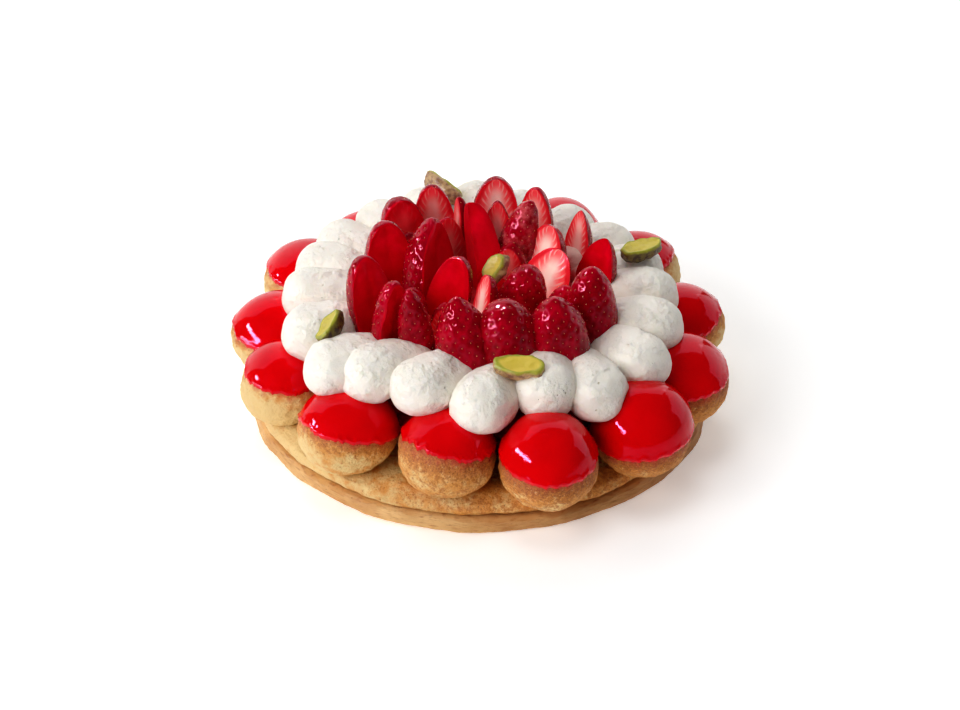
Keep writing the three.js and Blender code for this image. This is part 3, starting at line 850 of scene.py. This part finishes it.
def seed_tree(finish):
    """Places a seed at each stored point and joins the seeds to the fruit."""
    tree = bpy.data.node_groups.new("Strawberry seeds", "GeometryNodeTree")
    sockets = {}
    rows = [("fruit", "Fruit", "Geometry"), ("places", "Places", "Object")]
    rows += [("shape", "Seed shape", "Object"), ("least", "Smallest", "Float")]
    rows += [("most", "Largest", "Float"), ("result", "Fruit with seeds", "Geometry")]
    for key, name, kind in rows:
        way = "OUTPUT" if key == "result" else "INPUT"
        kind = "NodeSocket" + kind
        sockets[key] = tree.interface.new_socket(name, in_out=way, socket_type=kind)
    new = tree.nodes.new
    given, result = new("NodeGroupInput"), new("NodeGroupOutput")
    places, shape = new("GeometryNodeObjectInfo"), new("GeometryNodeObjectInfo")
    outward, tipward = (new("GeometryNodeInputNamedAttribute") for _ in range(2))
    for reader, name in ((outward, "outward"), (tipward, "tipward")):
        reader.data_type = "FLOAT_VECTOR"
        reader.inputs["Name"].default_value = name
    lie = new("FunctionNodeAxesToRotation")
    lie.primary_axis, lie.secondary_axis = "Z", "Y"
    size = new("FunctionNodeRandomValue")
    size.inputs["Seed"].default_value = 7
    put = new("GeometryNodeInstanceOnPoints")
    real = new("GeometryNodeRealizeInstances")
    paint = new("GeometryNodeSetMaterial")
    paint.inputs["Material"].default_value = finish
    both = new("GeometryNodeJoinGeometry")
    links = [
        (given, "Places", places, "Object"),
        (given, "Seed shape", shape, "Object"),
        (given, "Smallest", size, 2),
        (given, "Largest", size, 3),
        (outward, "Attribute", lie, "Primary Axis"),
        (tipward, "Attribute", lie, "Secondary Axis"),
        (places, "Geometry", put, "Points"),
        (shape, "Geometry", put, "Instance"),
        (lie, "Rotation", put, "Rotation"),
        (size, 1, put, "Scale"),
        (put, "Instances", real, "Geometry"),
        (real, "Geometry", paint, "Geometry"),
        (paint, "Geometry", both, "Geometry"),
        (given, "Fruit", both, "Geometry"),
        (both, "Geometry", result, "Fruit with seeds"),
    ]
    for giver, output, taker, entry in links:
        tree.links.new(giver.outputs[output], taker.inputs[entry])
    return tree, {key: socket.identifier for key, socket in sockets.items()}


seeds, seed_inputs = seed_tree(seed_finish)
one_seed = seed_shape()
print("seed tree sockets:", sorted(seed_inputs))

# %% [markdown]
# ## Cut fruit
# Each fruit is first made whole, with its dimples. A Boolean modifier could then cut it, but that
# leaves a hard edge. So whatever lies beyond the knife is pressed back onto the plane of the cut,
# which leaves a smooth wet face with a soft edge and no seam. A stored value tells the finish
# where the skin ends and the flesh begins.

# %% The form of a strawberry
# Each strawberry: foot, tip, width, bearing of the cut face, where it was cut, how sharp its point
# is, then how pale its flesh is from 0 to 1.
BERRIES = [
    ((-39.5, -25), (-44.5, -21, 77), 19, 310, 2, 0.9, 0),
    ((-34, 2), (-37, 5, 76), 20, 290, 2, 0.85, 0),
    ((-28, 27), (-32.6, 25, 74), 20, 290, 2, 0.8, 0.05),
    ((-18, 38), (-19.5, 35, 74), 17.5, 275, 1, 1, 0.4),
    ((6, 43), (6, 40, 74.5), 19, 275, 1, 0.95, 0.7),
    ((22, 33), (21.5, 30, 76), 15, 250, 1, 0.9, 0.6),
    ((37, 23), (39, 19.5, 72), 13, 220, 0, 1.4, 0.6),
    ((42, 3), (48, -1.5, 72), 17, 225, 0, 1.3, 0),
    ((41.5, -26), (41.5, -26, 75.5), 21, 150, 7, 1.25, 0),
    ((30, -42), (26.5, -46, 74.5), 24, 120, 8, 1.3, 0),
    ((11.5, -45), (7.5, -46.5, 73), 25.5, 100, 8, 0.9, 0),
    ((-4, -46), (-9.4, -45.5, 75), 22.5, 85, 7, 1.45, 0),
    ((-23, -38.5), (-26.5, -40.5, 75), 14, 45, 4, 1.3, 0),
    ((-34.5, -35.5), (-32, -36, 75.5), 15, 315, 2, 0.95, 0),
    ((-18.5, -6), (-18.9, 5, 78), 23, 325, 3, 1.2, 0),
    ((-15.5, -17), (-7.5, -17, 73.5), 17.5, 235, 1, 0.8, 0),
    ((1, -4), (-4.5, 16, 78), 21, 290, 1, 0.85, 0),
    ((-8, 27), (-8.5, 27, 74), 12, 200, 1, 1.15, 0.4),
    ((6, 17), (6.5, 19, 77), 13, 270, 1, 1.15, 0.3),
    ((10.5, 15.5), (19.5, 17, 78), 16, 40, 3, 1, 0.9),
    ((21.5, 7), (27, 9, 71.5), 20, 225, 0, 0.95, 0.85),
    ((19.5, -7), (30.5, -2, 67.5), 20, 240, 0, 0.85, 1),
    ((14, -17), (18.5, -17, 70), 20, 60, 5, 1, 0.1),
    ((-3, -28), (2.5, -28, 72.5), 14, 200, 0, 0.75, 0.8),
    ((-26, -20), (-26, -20, 62), 15, 45, 3, 1.15, 0.2),
    ((31, -20), (32, -18, 62), 16, 120, 3, 1.15, 0.2),
    ((-14, 15), (-13, 18, 70), 18, 300, 1, 1.15, 0.2),
    ((11, 4), (12, 6, 66), 15, 250, 3, 1.15, 0.2),
    ((-27, 14), (-28, 15, 65), 15, 280, 3, 1.15, 0.2),
    ((-13, -31), (-13, -30, 62), 14, 260, 3, 1.15, 0.2),
]
WEDGE = 16  # the index of the one strawberry that has a second cut


def berry_frame(index):
    """Where a piece starts, its own three axes as rows, and its length."""
    foot, tip, _, face = BERRIES[index][:4]
    foot, tip = np.array([*foot, BED["level"]]), np.array(tip, dtype=float)
    up = (tip - foot) / np.linalg.norm(tip - foot)
    start = foot - up * BERRY["sunk"]
    side = np.cross(up, (*toward(face), 0))
    side /= np.linalg.norm(side)
    return start, np.array([np.cross(side, up), side, up]), np.linalg.norm(tip - start)


def berry_radius(share, width, sharp):
    """The radius of a whole fruit at a share of its length from the hulled end."""
    low = BERRY["hull"] + (1 - BERRY["hull"]) * np.sin(math.pi / 2 * share / BERRY["shoulder"])
    up = np.clip((share - BERRY["shoulder"]) / (1 - BERRY["shoulder"]), 0, 1)
    high = np.clip(1 - up**2, 0, 1) ** (sharp / 2)
    return width / 2 * np.where(share < BERRY["shoulder"], low, high)


def lumpy(points, index):
    """The uneven form of one fruit, in its own axes."""
    lump = BERRY["lumps"] * uneven(points, (7, 7, 9), SEED["berry"] + index)
    out = np.array(points)
    out[..., :2] *= (1 + lump)[..., None]
    return out


print(len(BERRIES), "strawberries, the first", round(float(berry_frame(0)[2]), 1), "mm long")

# %% Places of the seeds
SPACING = 3.5  # between seeds
GOLDEN = 137.508  # the golden angle, in degrees


def seed_places(index, length):
    """Where the seeds sit on a fruit, and which way is out and which way is to the tip."""
    width, cut, sharp = BERRIES[index][2], BERRIES[index][4], BERRIES[index][5]
    share = np.linspace(0.1, 0.995, 400)
    radius = berry_radius(share, width, sharp)
    slope = np.gradient(radius, share * length)
    area = np.cumsum(radius * np.sqrt(1 + slope**2))
    count = int(2 * math.pi * area[-1] * (share[1] - share[0]) * length / (0.9 * SPACING**2))
    wanted = np.interp((np.arange(count) + 0.5) / count * area[-1], area, share)
    turn = np.arange(count) * math.radians(GOLDEN) + index
    radius, slope = np.interp(wanted, share, radius), np.interp(wanted, share, slope)
    ring = np.stack([np.cos(turn), np.sin(turn)], -1)
    points = lumpy(np.column_stack([ring * radius[:, None], wanted * length]), index)
    outward = np.column_stack([ring, -slope])
    tipward = np.column_stack([ring * slope[:, None], np.ones(count)])
    keep = points[:, 0] < cut - 0.5
    if index == WEDGE:
        keep &= points[:, 1] > 0.5 - cut
    return points[keep], outward[keep], tipward[keep]


print("seeds on the first piece:", len(seed_places(0, berry_frame(0)[2])[0]))

# %% Strawberry pieces
DIMPLE = {"radius": 1.0, "depth": 0.42}
EDGE = 0.5  # how softly the wet edge of a cut turns over
SKIN_STEP = 0.52  # between points round a fruit
SEED_SIZE = {"least": 0.5, "most": 0.75, "sunk": 0.22}


def pressed(beyond):
    """Distances past a knife, pressed back to just behind it."""
    return -EDGE * np.logaddexp(0, -beyond / EDGE)


def strawberry(index):
    """One strawberry piece with its seeds."""
    width, _, cut, sharp, pale = BERRIES[index][2:]
    start, axes, length = berry_frame(index)
    spots, outward, tipward = seed_places(index, length)
    low = np.linspace(0, BERRY["shoulder"], 16)
    high = 1 - (1 - np.linspace(0, 1, 48)[1:-1]) ** 1.35
    share = np.concatenate([low, BERRY["shoulder"] + (1 - BERRY["shoulder"]) * high])
    around = int(math.pi * width / SKIN_STEP)
    rings = turned(np.stack([berry_radius(share, width, sharp), share * length], -1), around)
    floor_rows = [rings[0:1] * np.array([s, s, 1]) for s in (0.35, 0.7, 0.93)]
    rings = lumpy(np.concatenate(floor_rows + [rings]), index)
    points, faces = closed((0, 0, 0), rings, (0, 0, length))
    name = f"strawberry_{index + 1:02d}_fine"
    away = np.linalg.norm(points[:, None] - spots[None], axis=-1).min(axis=1)
    dent = np.exp(-((away / DIMPLE["radius"]) ** 2))
    berry = made(name, points, faces, fruit_finish)
    pushed(berry, lambda p: 0.12 * grain(p, 4, index) - DIMPLE["depth"] * dent)
    points = np.array([v.co for v in berry.data.vertices]) / MM
    mark(berry, "dimple", dent)
    mark(berry, "own", points / (width / 2, width / 2, length))
    mark(berry, "pale", np.full(len(points), pale))
    beyond = points[:, 0] - cut
    opened = beyond
    if index == WEDGE:
        opened = np.maximum(beyond, -cut - points[:, 1])
        points[:, 1] = -pressed(-cut - points[:, 1]) - cut
    points[:, 0] = cut + pressed(beyond)
    mark(berry, "opened", np.clip(opened / 0.8 + 0.4, 0, 1))
    groove = 0.25 * np.exp(-((points[:, 1] / 1.6) ** 2))
    wave = 0.7 * grain(points, 8, index + 3) - groove
    points[:, 0] += np.clip(beyond / 1.5, 0, 1) * wave
    berry.data.vertices.foreach_set("co", ((points @ axes + start) * MM).ravel())
    berry.data.update()
    sunk = spots - SEED_SIZE["sunk"] * outward / np.linalg.norm(outward, axis=1, keepdims=True)
    places = made("places", sunk @ axes + start, [])
    mark(places, "outward", outward @ axes)
    mark(places, "tipward", tipward @ axes)
    step = berry.modifiers.new("seeds", "NODES")
    step.node_group = seeds
    step[seed_inputs["places"]] = places
    step[seed_inputs["shape"]] = one_seed
    step[seed_inputs["least"]] = SEED_SIZE["least"]
    step[seed_inputs["most"]] = SEED_SIZE["most"]
    frozen(berry)
    bpy.data.objects.remove(places)
    return hand_over(berry, "strawberry", f"strawberry_{index + 1:02d}")


print("strawberries:", sum(strawberry(index) for index in range(len(BERRIES))), "faces")
bpy.data.objects.remove(one_seed)

# %% [markdown]
# ## Pistachios
# The kernels are broken halves. Their broken face is yellow-green with a greener rim, and the
# rest wears a thin skin, light brown on some and dark green to purple brown on others. The
# kernels lie at all angles, so each mesh stores where it broke and how dark its skin is.

# %% Finish of the pistachios
nut = Finish("pistachio_finish", Roughness=0.42)
level = nut.stored("level")
streak = nut.noise(2.0, 41, detail=4, rough=0.6)
shade = nut.stored("dark")
light = nut.paint((206, 170, 122), (nut.steps(streak, 0.42, 0.62), (150, 104, 76)))
deep = nut.paint((96, 84, 18), (nut.steps(streak, 0.42, 0.6), (48, 30, 20)))
edge = nut.plus(level, nut.times(streak, 0.3))
green = nut.paint((126, 132, 22), (streak, (192, 188, 62)))
bright = nut.paint((228, 202, 92), (nut.noise(4, 43), (208, 184, 50)))
open_face = nut.math("SUBTRACT", 1.0, nut.times(shade, 0.4))
open_face = nut.times(nut.steps(nut.stored("face"), 0.15, 0.6), open_face)
tone = nut.paint(light, (shade, deep), (nut.steps(edge, 0.26, 0.4), green), (open_face, bright))
relief = nut.relief((nut.noise(0.7, 42, detail=4), 0.2))
nut_finish = nut.done(Base_Color=tone, Normal=relief)

# %% Pistachio kernels
# Each pistachio: middle, length, bearing, pitch, roll, and how dark its skin is from 0 to 1.
NUTS = [
    ((14, -66, 58), 18.5, 352, 0, 20, 0.1),
    ((-56, -40, 57.5), 14, 58, 30, -35, 0.95),
    ((62.5, 11, 59.5), 18, 20, 5, 0, 0.85),
    ((-15, 56, 60), 18.5, 322, -15, -65, 0.15),
    ((5.5, -7.5, 62.5), 13, 30, 50, 0, 0.3),
]


def pistachio(index):
    """One kernel, flat and slightly hollow where it broke."""
    middle, length, bearing, pitch, roll, dark = NUTS[index]
    angle = rising(ALONG["nut"])
    across = NUT["width"] / 2 * np.cos(angle) ** FULLNESS["nut"]
    rings = turned(np.stack([across, length / 2 * np.sin(angle)], -1), AROUND["nut"])
    flat = NUT["height"] / NUT["width"]
    rings = np.stack([rings[..., 2], rings[..., 1], -rings[..., 0] * flat], -1)
    cap = NUT["cut"] * NUT["height"]
    over = np.clip(rings[..., 2] - cap, 0, None)
    broken = 0.5 * grain(rings, 3.4, index) + 0.2 * grain(rings, 1.4, index)
    rings[..., 2] = np.minimum(rings[..., 2], cap) - 0.3 * over + broken * np.clip(over, 0, 1)
    lump = NUT["lumps"] * uneven(rings, (4, 3, 3), SEED["nut"] + index)
    lump = lump + 0.12 * grain(rings, 4, index + 9) + 0.05 * grain(rings, 1.7, index + 19)
    rings = rings * (1 + lump)[..., None]
    points, faces = closed((-length / 2, 0, 0), rings, (length / 2, 0, 0))
    level = points[:, 2] / NUT["height"]
    points[:, 0] += 0.9 * grain(points, 4.5, index + 29)
    points[:, 1] += 0.7 * grain(points, 4, index + 39)
    points = spun(spun(spun(points, "X", roll), "Y", -pitch), "Z", bearing) + middle
    kernel = made(f"pistachio_{index + 1:02d}_fine", points, faces, nut_finish)
    mark(kernel, "level", level)
    mark(kernel, "dark", np.full(len(points), dark))
    mark(kernel, "face", np.concatenate([[0], np.clip(over.ravel() / 1.5, 0, 1), [0]]))
    return hand_over(kernel, "pistachio", f"pistachio_{index + 1:02d}")


print("pistachios:", sum(pistachio(index) for index in range(len(NUTS))), "faces")

# %% [markdown]
# ## Studio
# The cake stands on a plain white floor, which glows a little so that it stays white. One big
# window would do, but glaze and fruit mirror their lights, so the two jobs are kept apart. Five
# soft lights give light and shade and don't show in the gloss. Only the gloss shows a long low
# window on the left, and white cards behind and on the right. A small lamp makes the bright spots
# on the strawberries, and lights nothing else. The camera looks down from the front.

# %% Floor
HALF_FLOOR = 3000
floor_look = Finish("floor_finish", Roughness=0.7, Emission_Strength=0.25)
white = floor_look.paint((250, 250, 250), (floor_look.noise(400, 51), (252, 252, 252)))
floor_finish = floor_look.done(Base_Color=white)
corners = [(x * HALF_FLOOR, y * HALF_FLOOR, 0) for x, y in ((-1, -1), (1, -1), (1, 1), (-1, 1))]
ground = made("floor", corners, [(0, 1, 2, 3)], floor_finish)

# %% Lights
# Each light: name, place, height that it is aimed at, size, all in metres, then its watts, and
# whether it shows in the gloss only or in the matt shading only.
LIGHTS = [
    ("window", (-0.93, -0.36, 0.44), 0.05, (1.0, 0.09), 16, "gloss"),
    ("front_left", (-0.66, -0.62, 0.66), 0.03, (0.8, 0.6), 5.6, "matt"),
    ("high_left", (-0.78, -0.07, 0.81), 0.03, (0.8, 0.6), 1.6, "matt"),
    ("back", (-0.1, 0.9, 0.82), 0.03, (1.2, 0.7), 4.2, "matt"),
    ("top", (-0.08, 0.0, 1.23), 0.03, (0.5, 0.5), 2.2, "matt"),
    ("right", (0.7, 0.3, 0.22), 0.05, (0.6, 0.4), 0.4, "matt"),
    ("back_card", (-0.3, 0.95, 0.65), 0.03, (2.4, 1.5), 13, "gloss"),
    ("right_card", (0.8, 0.4, 0.3), 0.05, (1.0, 0.6), 2.2, "gloss"),
    ("lamp", (-0.15, 0.2, 1.1), 0.06, (0.12, 0.12), 36, "gloss"),
]


def soft_light(name, place, aim, size, power, shows):
    """A rectangular soft light at a place, aimed at a height above the cake's middle."""
    light = bpy.data.lights.new(name, "AREA")
    light.shape = "RECTANGLE"
    light.size, light.size_y = size
    light.energy = power
    obj = shown(name, light)
    obj.location = place
    obj.rotation_euler = (Vector((0, 0, aim)) - Vector(place)).to_track_quat("-Z", "Y").to_euler()
    obj.visible_diffuse = shows == "matt"
    obj.visible_glossy = shows == "gloss"
    return obj


lights = {row[0]: soft_light(*row) for row in LIGHTS}
lit_by_the_lamp = bpy.data.collections.new("lit_by_the_lamp")
lights["lamp"].light_linking.receiver_collection = lit_by_the_lamp
for obj in scene.objects:
    if obj.name.startswith("strawberry"):
        lit_by_the_lamp.objects.link(obj)

# %% World, view and camera
world = bpy.data.worlds.new("studio")
world.use_nodes = True
world.node_tree.nodes["Background"].inputs["Color"].default_value = (1, 1, 1, 1)
world.node_tree.nodes["Background"].inputs["Strength"].default_value = 0.1
scene.world = world
scene.view_settings.view_transform = "Standard"
scene.view_settings.look = "Medium High Contrast"

EYE, AIM = Vector((-0.00028, -0.785, 0.5651)), Vector((-0.00028, 0, 0.01724))
lens = bpy.data.cameras.new("camera")
lens.lens = 90.86
lens.sensor_width = 36
lens.clip_start = 0.05
eye = shown("camera", lens)
eye.location = EYE
eye.rotation_euler = (AIM - EYE).to_track_quat("-Z", "Y").to_euler()
scene.camera = eye
print("camera", round((AIM - EYE).length, 3), "m from the point it is aimed at")
